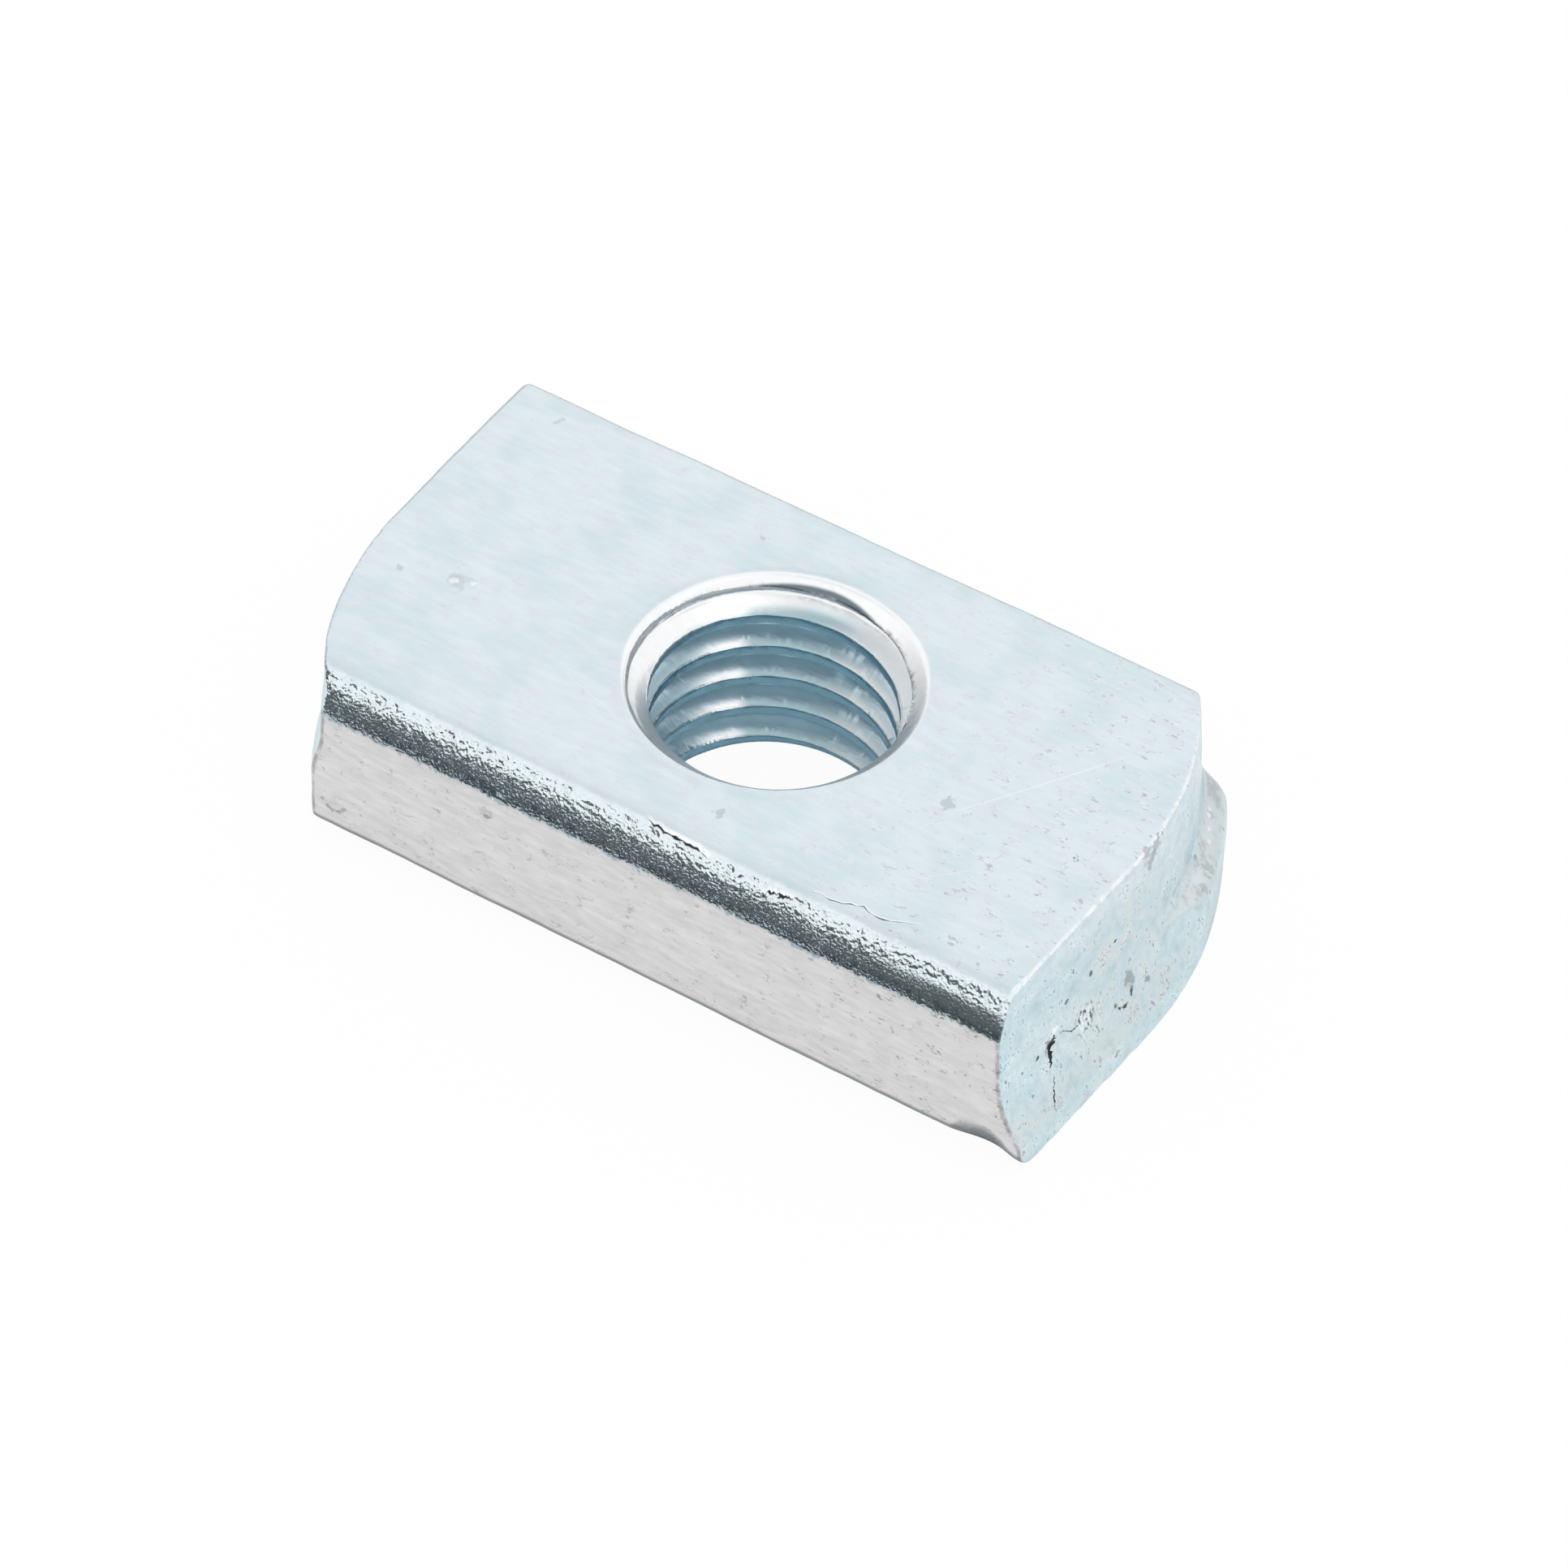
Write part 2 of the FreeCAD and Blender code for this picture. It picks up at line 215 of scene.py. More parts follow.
@dataclass
class Thread:
    """The coarse right-hand thread that is tapped into the bore, in millimetres."""

    major_diameter: float = 12.0
    pitch: float = 1.75
    flank_angle: float = 60.0
    root_flat: float = 0.24
    core_radius: float = 4.75
    start_height: float = -2.85
    turns: int = 8
    steps: int = 120

    def model_tap(self) -> bpy.types.Object:
        """Sweep the thread's section up a helix, as the tap that cuts it.

        Returns:
            The tap, one closed ribbon about the bore's axis.
        """
        outer = self.major_diameter / 2.0
        depth = outer - self.core_radius
        root_half = self.root_flat / 2.0
        base_half = root_half + depth * math.tan(math.radians(self.flank_angle / 2.0))
        bpy.ops.object.select_all(action="DESELECT")
        bpy.ops.mesh.primitive_plane_add(
            size=1.0, location=(0.0, 0.0, 0.0), rotation=(math.pi / 2.0, 0.0, 0.0))
        tap = bpy.context.active_object
        tap.name = "tap"
        bpy.ops.object.transform_apply(location=True, rotation=True, scale=True)
        for vertex in tap.data.vertices:
            outward = vertex.co.x > 0.0
            half = root_half if outward else base_half
            vertex.co.x = outer if outward else self.core_radius
            vertex.co.z = self.start_height + math.copysign(half, vertex.co.z)
        apply_modifier(tap, "SCREW", axis="Z", angle=FULL_TURN, screw_offset=self.pitch,
                       iterations=self.turns, steps=self.steps, render_steps=self.steps,
                       use_merge_vertices=False, use_smooth_shade=False)
        bpy.ops.object.mode_set(mode="EDIT")
        bpy.ops.mesh.select_all(action="SELECT")
        bpy.ops.mesh.remove_doubles(threshold=1e-5)
        bpy.ops.mesh.select_all(action="SELECT")
        bpy.ops.mesh.fill_holes(sides=4)
        bpy.ops.mesh.select_all(action="SELECT")
        bpy.ops.mesh.normals_make_consistent(inside=False)
        bpy.ops.object.mode_set(mode="OBJECT")
        return tap


@dataclass
class LongRound:
    """The rounded long edges at the top, as the rolls left them: full above, with a crease below."""

    half_width: float = 10.2
    top_height: float = 8.9
    solid_radius: float = 1.45
    drop: float = 2.1
    straight: float = 0.62
    curved: float = 0.48
    hinge: float = 8.0
    jaggedness: float = 0.012

    def old_half(self, height: np.ndarray) -> np.ndarray:
        """Half the solid's width at each height."""
        rise = np.clip((height - self.top_height) / self.solid_radius + 1.0, 0.0, 1.0)
        return self.half_width - self.solid_radius * (1.0 - np.sqrt(1.0 - rise * rise))

    def new_half(self, height: np.ndarray) -> np.ndarray:
        """Half the finished width at each height."""
        rise = np.clip((height - self.top_height) / self.drop + 1.0, 0.0, 1.0)
        return self.half_width - self.straight * rise - self.curved * (1.0 - np.sqrt(1.0 - rise * rise))

    def reshape(self, points: np.ndarray) -> np.ndarray:
        """Stretch or squeeze the bar's width near its long edges.

        Args:
            points: The mesh's points.

        Returns:
            The moved points.
        """
        jag = Relief(seed=31, wavelength=0.45).at(points) * self.jaggedness
        low = smooth_step((self.top_height - points[:, 2]) / self.drop)
        old = self.old_half(points[:, 2])
        new = self.new_half(points[:, 2] + jag * low)
        beyond = np.clip(np.abs(points[:, 1]) - self.hinge, 0.0, None)
        share = (new - self.hinge) / (old - self.hinge)
        moved = points.copy()
        moved[:, 1] += np.sign(points[:, 1]) * beyond * (share - 1.0)
        return moved


@dataclass
class RailNut:
    """The nut: its solid from the frame, tapped, softened and worn. Sizes are in millimetres."""

    thread: Thread = field(default_factory=Thread)
    rounds: LongRound = field(default_factory=LongRound)
    voxel: float = 0.09
    most_triangles: int = 195000
    soft_passes: int = 24
    bore_clearance: float = 6.3
    top_sink: float = 0.05
    wave_depth: float = 0.03
    droop_depth: float = 0.17
    droop_start: float = 7.9
    droop_reach: float = 1.3
    droop_foot: float = 7.0
    droop_rise: float = 1.5
    bore_fade: float = 0.5
    broad_wave: float = 7.0
    fine_wave: float = 1.6
    box_margin: float = 0.0005

    dimples: tuple[Dimple, ...] = (
        Dimple(Side.TOP, (-13.82, -2.45, 8.9), 0.45, -0.1),
        Dimple(Side.TOP, (-13.11, -2.14, 8.9), 0.3, -0.07),
        Dimple(Side.TOP, (15.08, -1.67, 8.9), 0.22, 0.12),
        Dimple(Side.TOP, (-4.95, 6.83, 8.9), 0.7, 0.06),
        Dimple(Side.TOP, (-15.73, 8.04, 8.9), 1.0, 0.07),
        Dimple(Side.FRONT, (-6.5, -10.2, 6.7), 0.55, -0.14),
        Dimple(Side.FRONT, (-15.1, -10.2, 2.2), 1.2, 0.06),
        Dimple(Side.FRONT, (16.4, -10.2, 0.3), 1.7, 0.4),
        Dimple(Side.RIGHT, (17.4, -6.68, 3.7), 0.5, 0.2),
        Dimple(Side.RIGHT, (17.6, -4.4, 3.6), 0.7, 0.08),
        Dimple(Side.RIGHT, (17.9, -1.0, 2.2), 0.6, 0.08),
        Dimple(Side.RIGHT, (17.9, -1.4, 3.1), 0.45, 0.1),
    )

    def copy_solid(self, node: bpy.types.Object) -> bpy.types.Object:
        """Copy the frame's solid, merge its triangles and bring it to millimetres.

        Args:
            node: The frame's own object, which is left alone.

        Returns:
            The copy, a closed mesh.
        """
        blank = bpy.data.objects.new("rail_nut_plated", node.data.copy())
        bpy.context.scene.collection.objects.link(blank)
        select_only(blank)
        blank.scale = (1.0 / MM,) * 3
        bpy.ops.object.transform_apply(location=True, rotation=True, scale=True)
        bpy.ops.object.mode_set(mode="EDIT")
        bpy.ops.mesh.select_all(action="SELECT")
        bpy.ops.mesh.remove_doubles(threshold=1e-4)
        bpy.ops.object.mode_set(mode="OBJECT")
        return blank

    def cut_thread(self, nut: bpy.types.Object) -> None:
        """Recut the solid's coarsely faceted thread with a finely stepped tap.

        Args:
            nut: The nut's mesh, in millimetres.
        """
        tap = self.thread.model_tap()
        apply_modifier(nut, "BOOLEAN", operation="DIFFERENCE", solver="EXACT", object=tap)
        bpy.data.objects.remove(tap)

    def refine(self, nut: bpy.types.Object) -> None:
        """Remesh the nut finely and evenly, so that small wear has something to move."""
        apply_modifier(nut, "REMESH", mode="VOXEL", voxel_size=self.voxel, use_smooth_shade=True)
        LOG.info("remeshed to %d points", len(nut.data.vertices))

    def soften(self, nut: bpy.types.Object) -> None:
        """Round the sheared edges outside the bore.

        Args:
            nut: The remeshed nut.
        """
        points = self.points_of(nut)
        outside = np.hypot(points[:, 0], points[:, 1]) > self.bore_clearance
        group = nut.vertex_groups.new(name="outside")
        group.add(np.flatnonzero(outside).tolist(), 1.0, "REPLACE")
        apply_modifier(nut, "SMOOTH", factor=0.5, iterations=self.soft_passes, vertex_group="outside")
        nut.vertex_groups.remove(nut.vertex_groups["outside"])

    def points_of(self, nut: bpy.types.Object) -> np.ndarray:
        """Read the mesh's points.

        Args:
            nut: The mesh to read.

        Returns:
            The points, one row each.
        """
        points = np.empty(len(nut.data.vertices) * 3)
        nut.data.vertices.foreach_get("co", points)
        return points.reshape(-1, 3)

    def wear(self, nut: bpy.types.Object) -> None:
        """Move the fine mesh's points: long rounds, uneven faces, dents and raised spots.

        Args:
            nut: The softened nut.
        """
        points = self.points_of(nut)
        normals = np.empty(len(points) * 3)
        nut.data.vertex_normals.foreach_get("vector", normals)
        normals = normals.reshape(-1, 3)
        moved = self.rounds.reshape(points)
        from_axis = np.hypot(points[:, 0], points[:, 1])
        outside = smooth_step((from_axis - self.bore_clearance) / self.bore_fade)
        sink = self.top_sink * outside * smooth_step(normals[:, 2] * 2.0 - 0.6)
        moved += normals * (self.unevenness(points) * outside - sink)[:, None]
        droop = smooth_step((-points[:, 1] - self.droop_start) / self.droop_reach)
        upper = smooth_step((points[:, 2] - self.droop_foot) / self.droop_rise)
        moved[:, 2] -= self.droop_depth * droop * upper
        for dimple in self.dimples:
            moved += self.press(dimple, points, normals)
        low, high = self.limits()
        moved = np.clip(moved, low + self.box_margin, high - self.box_margin)
        nut.data.vertices.foreach_set("co", moved.ravel())
        nut.data.update()

    def unevenness(self, points: np.ndarray) -> np.ndarray:
        """Work out how far each point stands off its true face, always inward.

        Args:
            points: The mesh's points.

        Returns:
            The distance for each point, along its normal.
        """
        broad = Relief(seed=11, wavelength=self.broad_wave).at(points)
        fine = Relief(seed=12, wavelength=self.fine_wave).at(points)
        return self.wave_depth * (0.7 * broad + 0.22 * fine - 0.9)

    def press(self, dimple: Dimple, points: np.ndarray, normals: np.ndarray) -> np.ndarray:
        """Work out one dent or raised spot.

        Args:
            dimple: The dent.
            points: The mesh's points.
            normals: The mesh's normals, one for each point.

        Returns:
            The movement of each point.
        """
        offset = points - np.array(dimple.place)
        near = smooth_step(1.0 - np.linalg.norm(offset, axis=1) / dimple.reach)
        facing = np.clip(normals @ np.array(dimple.side.value), 0.0, 1.0)
        return -np.array(dimple.side.value) * (dimple.depth * near * facing)[:, None]

    def limits(self) -> tuple[np.ndarray, np.ndarray]:
        """The solid's own box, in millimetres, which no point may leave."""
        low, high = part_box(NODE)
        return np.array(low) / MM, np.array(high) / MM

    def thin(self, nut: bpy.types.Object) -> None:
        """Drop the triangles that flat stretches don't need, and return to metres.

        Args:
            nut: The worn nut.
        """
        apply_modifier(nut, "TRIANGULATE")
        share = self.most_triangles / len(nut.data.polygons)
        apply_modifier(nut, "DECIMATE", decimate_type="COLLAPSE", ratio=min(1.0, share))
        nut.scale = (MM,) * 3
        select_only(nut)
        bpy.ops.object.transform_apply(location=True, rotation=True, scale=True)
        bpy.ops.object.shade_smooth()

    def build(self, node: bpy.types.Object) -> bpy.types.Object:
        """Model the whole nut.

        Args:
            node: The frame's solid.

        Returns:
            The finished mesh, in metres, with no material yet.
        """
        nut = self.copy_solid(node)
        self.cut_thread(nut)
        self.refine(nut)
        self.soften(nut)
        self.wear(nut)
        self.thin(nut)
        return nut


class Graph:
    """Adds nodes to a shader tree, each fed by other nodes' sockets or by plain values."""

    def __init__(self, tree: bpy.types.NodeTree) -> None:
        """Keep the tree's nodes and links at hand."""
        self.nodes = tree.nodes
        self.links = tree.links

    def feed(self, socket: Socket, value: object) -> None:
        """Link a socket to an output, or set it to a plain value.

        Args:
            socket: The input to feed.
            value: An output's socket, or a plain value.
        """
        if isinstance(value, Socket):
            self.links.new(value, socket)
        else:
            socket.default_value = value

    def add(self, kind: str, inputs: dict[int | str, object],
            **settings: object) -> bpy.types.Node:
        """Add one node.

        Args:
            kind: The node's type.
            inputs: Sockets or plain values, by the name or number of the input that each feeds.
            **settings: The node's own properties.

        Returns:
            The node.
        """
        node = self.nodes.new(kind)
        for name, value in settings.items():
            setattr(node, name, value)
        for key, value in inputs.items():
            self.feed(node.inputs[key], value)
        return node

    def split(self, vector: Socket) -> bpy.types.bpy_prop_collection:
        """The three coordinates of a vector, by number or by letter."""
        return self.add("ShaderNodeSeparateXYZ", {0: vector}).outputs

    def math(self, operation: str, *values: object) -> Socket:
        """The result of one arithmetic step."""
        return self.add("ShaderNodeMath", dict(enumerate(values)), operation=operation).outputs[0]

    def vector(self, operation: str, *values: object) -> Socket:
        """The vector that one vector step gives."""
        inputs = dict(enumerate(values))
        return self.add("ShaderNodeVectorMath", inputs, operation=operation).outputs["Vector"]

    def scale(self, vector: Socket, factor: object) -> Socket:
        """A vector or colour times a number."""
        inputs = {0: vector, "Scale": factor}
        return self.add("ShaderNodeVectorMath", inputs, operation="SCALE").outputs["Vector"]

    def measure(self, operation: str, *values: object) -> Socket:
        """The number that one vector step gives, such as a length or a dot product."""
        inputs = dict(enumerate(values))
        return self.add("ShaderNodeVectorMath", inputs, operation=operation).outputs["Value"]

    def apart(self, first: object, second: object) -> Socket:
        """How far apart two values are."""
        return self.math("ABSOLUTE", self.math("SUBTRACT", first, second))

    def ramp(self, value: object, start: float, end: float,
             low: float = 0.0, high: float = 1.0) -> Socket:
        """Ease from low to high as a value goes from start to end.

        Args:
            value: The value that is followed.
            start: Where the result leaves low.
            end: Where it reaches high, above or below the start.
            low: The result before the start.
            high: The result past the end.

        Returns:
            The eased result.
        """
        inputs = {"Value": value, "From Min": start, "From Max": end, "To Min": low, "To Max": high}
        node = self.add("ShaderNodeMapRange", inputs, interpolation_type="SMOOTHSTEP")
        return node.outputs["Result"]

    def noise(self, place: object, wavelength: float, detail: float = 1.0,
              roughness: float = 0.5) -> Socket:
        """Noise from 0 to 1 whose features are about a wavelength apart."""
        inputs = {"Vector": place, "Scale": 1.0 / wavelength, "Detail": detail, "Roughness": roughness}
        return self.add("ShaderNodeTexNoise", inputs).outputs["Fac"]

    def curve(self, share: object, heights: np.ndarray) -> Socket:
        """Look a share up on a line through evenly spaced heights.

        Args:
            share: How far along the line, from 0 to 1.
            heights: The line's heights, each from 0 to 1.

        Returns:
            The line's height there.
        """
        node = self.add("ShaderNodeFloatCurve", {"Value": share})
        line = node.mapping.curves[0]
        line.points[0].location = (0.0, heights[0])
        line.points[1].location = (1.0, heights[-1])
        for step, height in enumerate(heights[1:-1], 1):
            line.points.new(step / (len(heights) - 1), height)
        for point in line.points:
            point.handle_type = "VECTOR"
        node.mapping.update()
        return node.outputs["Value"]

    def product(self, *values: object) -> Socket:
        """Multiply several values.

        Args:
            *values: Sockets or plain numbers, a socket first.

        Returns:
            Their product.
        """
        result = values[0]
        for value in values[1:]:
            result = self.math("MULTIPLY", result, value)
        return result

    def total(self, *values: object) -> Socket:
        """Add several values.

        Args:
            *values: Sockets or plain numbers.

        Returns:
            Their sum.
        """
        result = values[0]
        for value in values[1:]:
            result = self.math("ADD", result, value)
        return result

    def blend(self, share: object, first: object, second: object) -> Socket:
        """Mix two colours."""
        inputs = {"Factor": share, "A": first, "B": second}
        return self.add("ShaderNodeMix", inputs, data_type="RGBA").outputs["Result"]


@dataclass(frozen=True)
class ZincFinish:
    """Bright zinc plating, with some painted shade and highlights. Lengths are in millimetres, which
    its shader works in.
    """

    cool: Colour = (0.68, 0.795, 0.84, 1.0)
    pale: Colour = (0.74, 0.83, 0.875, 1.0)
    rosy: Colour = (0.76, 0.80, 0.84, 1.0)
    neutral: Colour = (0.715, 0.705, 0.705, 1.0)
    # Painted shade on the rounded vertical corners
    corner_shade: Colour = (0.36, 0.345, 0.36, 1.0)
    end_tint: Colour = (0.675, 0.79, 0.82, 1.0)
    end_cyan: Colour = (0.60, 0.76, 0.815, 1.0)
    end_warm: Colour = (0.67, 0.715, 0.71, 1.0)
    bright: Colour = (0.77, 0.845, 0.87, 1.0)
    slate: Colour = (0.66, 0.84, 0.92, 1.0)
    white: Colour = (0.95, 0.96, 0.97, 1.0)
    # The thread's blue, as a painted shaded copy, a paler copy for the roots, a painted lit copy, and
    # warm painted light for the right
    bore_shaded: Colour = (0.25, 0.46, 0.58, 1.0)
    bore_deep: Colour = (0.72, 0.88, 0.94, 1.0)
    bore_lit: Colour = (0.40, 0.53, 0.57, 1.0)
    bore_rosy_lit: Colour = (0.66, 0.70, 0.71, 1.0)
    # Painted shade: the shadow under the bottom edges and the shade in the tool's groove
    groove: Colour = (0.09, 0.13, 0.16, 1.0)
    # Dark soil, and the painted shade on the lower rims of dents
    soil: Colour = (0.03, 0.035, 0.04, 1.0)
    shadow: Colour = (0.20, 0.235, 0.26, 1.0)
    grey: Colour = (0.30, 0.31, 0.32, 1.0)
    face_roughness: float = 0.34
    grain_roughness: float = 0.18
    bore_roughness: float = 0.30
    grain_size: float = 0.11
    grain_depth: float = 0.023
    crown_below: float = 0.03
    crown_above: float = 0.06
    top_relief: float = 0.012
    end_relief: float = 0.06
    ragged_size: float = 0.3
    mottle_size: float = 2.6
    patch_size: float = 0.8
    streak_size: float = 0.35
    fleck_size: float = 0.17
    streak_stretch: Point = (0.25, 1.0, 1.0)
    fleck_stretch: Point = (0.5, 1.0, 0.7)
    warm_middle: Point = (17.4, -1.5, 5.0)
    crumble_middle: Point = (17.5, -4.4, 3.45)
    crease_height: float = 6.8
    rim_radius: float = 6.15
    picture_left: Point = (-0.862, -0.507, 0.0)
    picture_back: Point = (-0.507, 0.862, 0.0)

    laps: tuple[Lap, ...] = (
        Lap(Side.TOP, Axis.X, Axis.Y, ((-0.3, -9.15), (0.9, -9.3), (2.1, -9.3), (3.0, -9.4)),
            0.05, 0.2, 1),
        Lap(Side.TOP, Axis.X, Axis.Y, ((5.4, -9.6), (6.1, -9.45), (6.9, -9.4)), 0.05, 0.12, 2),
        Lap(Side.TOP, Axis.X, Axis.Y,
            ((7.2, -8.8), (8.3, -8.9), (9.2, -8.6), (10.4, -8.7), (12.1, -8.1)), 0.025, 0.1, 3),
        Lap(Side.RIGHT, Axis.Z, Axis.Y, ((2.95, -7.0), (3.4, -6.75), (3.8, -6.5), (4.25, -6.4)),
            0.2, 0.0, 4),
        Lap(Side.RIGHT, Axis.Z, Axis.Y, ((1.5, -7.6), (2.1, -7.25), (2.65, -6.8)), 0.06, 0.0, 5),
        Lap(Side.RIGHT, Axis.Y, Axis.Z, ((-6.15, 4.15), (-5.4, 3.6), (-4.7, 3.4)), 0.04, 0.0, 6),
    )
    # Stains and marks; those on dents and raised spots are partly painted shade and highlight
    stains_and_dent_shades: tuple[Stain, ...] = (
        Stain((17.21, 0.63, 8.05), 0.42, 0.6),
        Stain((17.16, 1.1, 8.5), 0.35, 0.5),
        Stain((17.14, 0.3, 8.75), 0.3, 0.5),
        Stain((15.08, -1.67, 8.9), 0.13, 0.8, Shade.SOIL),
        Stain((9.3, -1.89, 8.9), 0.36, 0.35),
        Stain((2.09, -7.47, 8.9), 0.3, 0.35),
        Stain((-4.95, 6.83, 8.9), 0.2, 0.3),
        Stain((-16.12, -2.99, 8.9), 0.2, 0.3),
        Stain((-15.73, 8.04, 8.9), 0.25, 0.25),
        Stain((-13.8, -2.3, 8.9), 0.5, 0.2),
        # Painted highlights on the two raised spots
        Stain((-13.9, -2.5, 8.95), 0.24, 0.7, Shade.WHITE),
        Stain((-13.15, -2.2, 8.95), 0.18, 0.7, Shade.WHITE),
        # Painted shade in the blister on the front
        Stain((-7.05, -10.2, 5.92), 0.24, 0.35),
        Stain((17.7, -1.3, 3.2), 0.42, 0.6),
        Stain((17.22, -6.4, 4.42), 0.22, 0.95, Shade.WHITE),
        Stain((15.75, 8.4, 3.55), 0.12, 0.6, Shade.WHITE),
        Stain((15.95, 8.05, 3.53), 0.15, 0.7, Shade.WHITE),
        Stain((16.3, 7.45, 3.48), 0.11, 0.6, Shade.WHITE),
        Stain((16.6, 6.95, 3.42), 0.15, 0.7, Shade.WHITE),
        Stain((17.32, 5.76, 3.23), 0.35, 0.35),
        Stain((17.72, 4.76, 3.14), 0.28, 0.35),
        Stain((18.04, -0.28, 2.49), 0.17, 0.7),
        Stain((17.33, -2.07, 5.8), 0.14, 0.9, Shade.SOIL),
        Stain((17.29, -3.8, 5.45), 0.13, 0.8, Shade.SOIL),
        Stain((17.2, -5.5, 5.3), 0.12, 0.8, Shade.SOIL),
        Stain((17.23, -7.6, 3.95), 0.13, 0.9, Shade.SOIL),
    )
    # Painted shade along the lower rims of dents
    dent_rim_shades: tuple[Stain, ...] = (
        Stain((17.82, -1.87, 2.95), 0.62, 0.9, Shade.SOIL),
        Stain((-14.6, -10.2, 2.2), 0.6, 0.4, Shade.SOIL),
        Stain((-7.05, -10.2, 6.0), 0.36, 0.5, Shade.SOIL),
    )
    scratches: tuple[Scratch, ...] = (
        Scratch((9.03, -3.16), (14.39, 5.31), 0.05, 0.5),
        Scratch((9.7, -6.9), (12.4, -4.1), 0.04, 0.35),
        Scratch((-8.2, -4.0), (-3.0, -5.6), 0.04, 0.3),
        Scratch((6.5, 0.6), (10.4, 2.8), 0.04, 0.25),
    )

    def shade(self, kind: Shade) -> Colour:
        """The colour of one kind of mark."""
        return {Shade.SOIL: self.soil, Shade.GREY: self.grey, Shade.WHITE: self.white}[kind]

    def material(self) -> bpy.types.Material:
        """Build the plating's material.

        Returns:
            The material.
        """
        made = bpy.data.materials.new("zinc_plate")
        made.use_nodes = True
        ZincShader(made.node_tree, self).dress()
        return made


class ZincShader(Graph):
    """Lays the zinc finish out as nodes, from noises and masks that are added once."""

    def __init__(self, tree: bpy.types.NodeTree, finish: ZincFinish) -> None:
        """Add the shaded point in millimetres, the noises and the masks.

        Args:
            tree: The material's node tree.
            finish: The plating.
        """
        super().__init__(tree)
        self.finish = finish
        metres = self.add("ShaderNodeTexCoord", {}).outputs["Object"]
        self.place = self.scale(metres, 1.0 / MM)
        self.along = self.split(self.place)["X"]
        drawn = self.vector("MULTIPLY", self.place, finish.streak_stretch)
        flattened = self.vector("MULTIPLY", self.place, finish.fleck_stretch)
        self.ragged = self.math("SUBTRACT", self.noise(self.place, finish.ragged_size), 0.5)
        self.mottle = self.noise(self.place, finish.mottle_size)
        self.patches = self.noise(self.place, finish.patch_size, detail=3.0, roughness=0.7)
        self.streaks = self.noise(drawn, finish.streak_size, detail=2.0, roughness=0.65)
        self.flecks = self.noise(flattened, finish.fleck_size)
        self.mask = self.masks()

    def masks(self) -> dict[str, Socket]:
        """Find where each kind of surface lies.

        Returns:
            The masks by name, with the height above the crease and the turn round the bore.
        """
        crease, rim = self.finish.crease_height, self.finish.rim_radius
        x, y, z = self.split(self.place)
        facing = self.add("ShaderNodeTexCoord", {}).outputs["Normal"]
        facing_x, facing_y, facing_z = self.split(facing)
        endward = self.math("ABSOLUTE", facing_x)
        sideward = self.math("ABSOLUTE", facing_y)
        rough_height = self.math("ADD", z, self.ragged)
        from_axis = self.measure("LENGTH", self.vector("MULTIPLY", self.place, (1.0, 1.0, 0.0)))
        end_share = self.ramp(endward, 0.55, 0.85)
        above = self.total(z, self.product(self.ragged, 0.9), -crease)
        above_crease = self.ramp(above, -0.06, 0.06)
        below_crease = self.math("SUBTRACT", 1.0, above_crease)
        aside = self.math("ADD", self.math("ABSOLUTE", y), self.product(self.ragged, 0.4))
        leftward = self.measure("DOT_PRODUCT", self.place, self.finish.picture_left)
        turn = self.math("DIVIDE", leftward, from_axis)
        behind = self.measure("DOT_PRODUCT", self.place, self.finish.picture_back)
        lip_radius = self.math("SUBTRACT", from_axis, self.ramp(behind, -1.0, 2.5, -0.05, 0.1))
        right_flank = self.product(self.ramp(z, 6.6, 7.2), self.ramp(turn, -0.3, -0.7))
        return {
            "above": above,
            "turn": turn,
            "end": end_share,
            "long": self.product(self.ramp(sideward, 0.75, 0.97), below_crease),
            "top": self.ramp(facing_z, 0.7, 0.95),
            "grain": self.product(above_crease, self.ramp(aside, 9.0, 9.5),
                                  self.math("SUBTRACT", 1.0, end_share)),
            # Painted highlight along the burr on the right end's top edge
            "burr_highlight": self.product(self.ramp(facing_x, 0.25, 0.5), self.ramp(facing_z, 0.35, 0.55),
                                 self.ramp(z, 7.9, 8.2), self.ramp(self.ragged, -0.2, -0.05)),
            "bore": self.product(self.ramp(from_axis, rim + 0.35, rim + 0.05),
                                 self.ramp(z, 7.95, 7.55)),
            # Painted highlight on the countersink's lip
            "lip": self.product(self.ramp(lip_radius, rim + 0.15, rim), self.ramp(z, 7.5, 7.9)),
            "flank": self.product(
                self.ramp(facing_z, 0.25, 0.5),
                self.math("MAXIMUM", self.ramp(from_axis, 5.75, 5.15), right_flank)),
            "deep": self.ramp(from_axis, 5.3, 5.65),
            # Painted shade in the tool's groove round the back of the countersink
            "groove": self.product(self.groove_mask(from_axis, turn, behind),
                                   self.ramp(z, 8.1, 8.25)),
            # Painted shadow along the bottom edges and on faces that turn down
            "foot": self.product(
                self.math("MAXIMUM", self.ramp(rough_height, 0.5, 0.2),
                          self.ramp(facing_z, -0.12, -0.35)),
                self.ramp(endward, 0.6, 0.4), self.ramp(z, 3.0, 2.0)),
            # Painted shade on the rounded vertical corners of the long faces
            "corner": self.product(self.ramp(endward, 0.04, 0.16), self.ramp(endward, 0.75, 0.45),
                                   self.ramp(sideward, 0.55, 0.75), below_crease),
            "flare": self.product(self.ramp(self.math("ABSOLUTE", x), 14.0, 15.0),
                                  self.ramp(z, 4.0, 3.7), self.ramp(facing_z, 0.3, 0.55)),
            # Painted highlight: the ends paler along their tops
            "shoulder_highlight": self.product(end_share, self.ramp(rough_height, 7.2, 7.9)),
        }

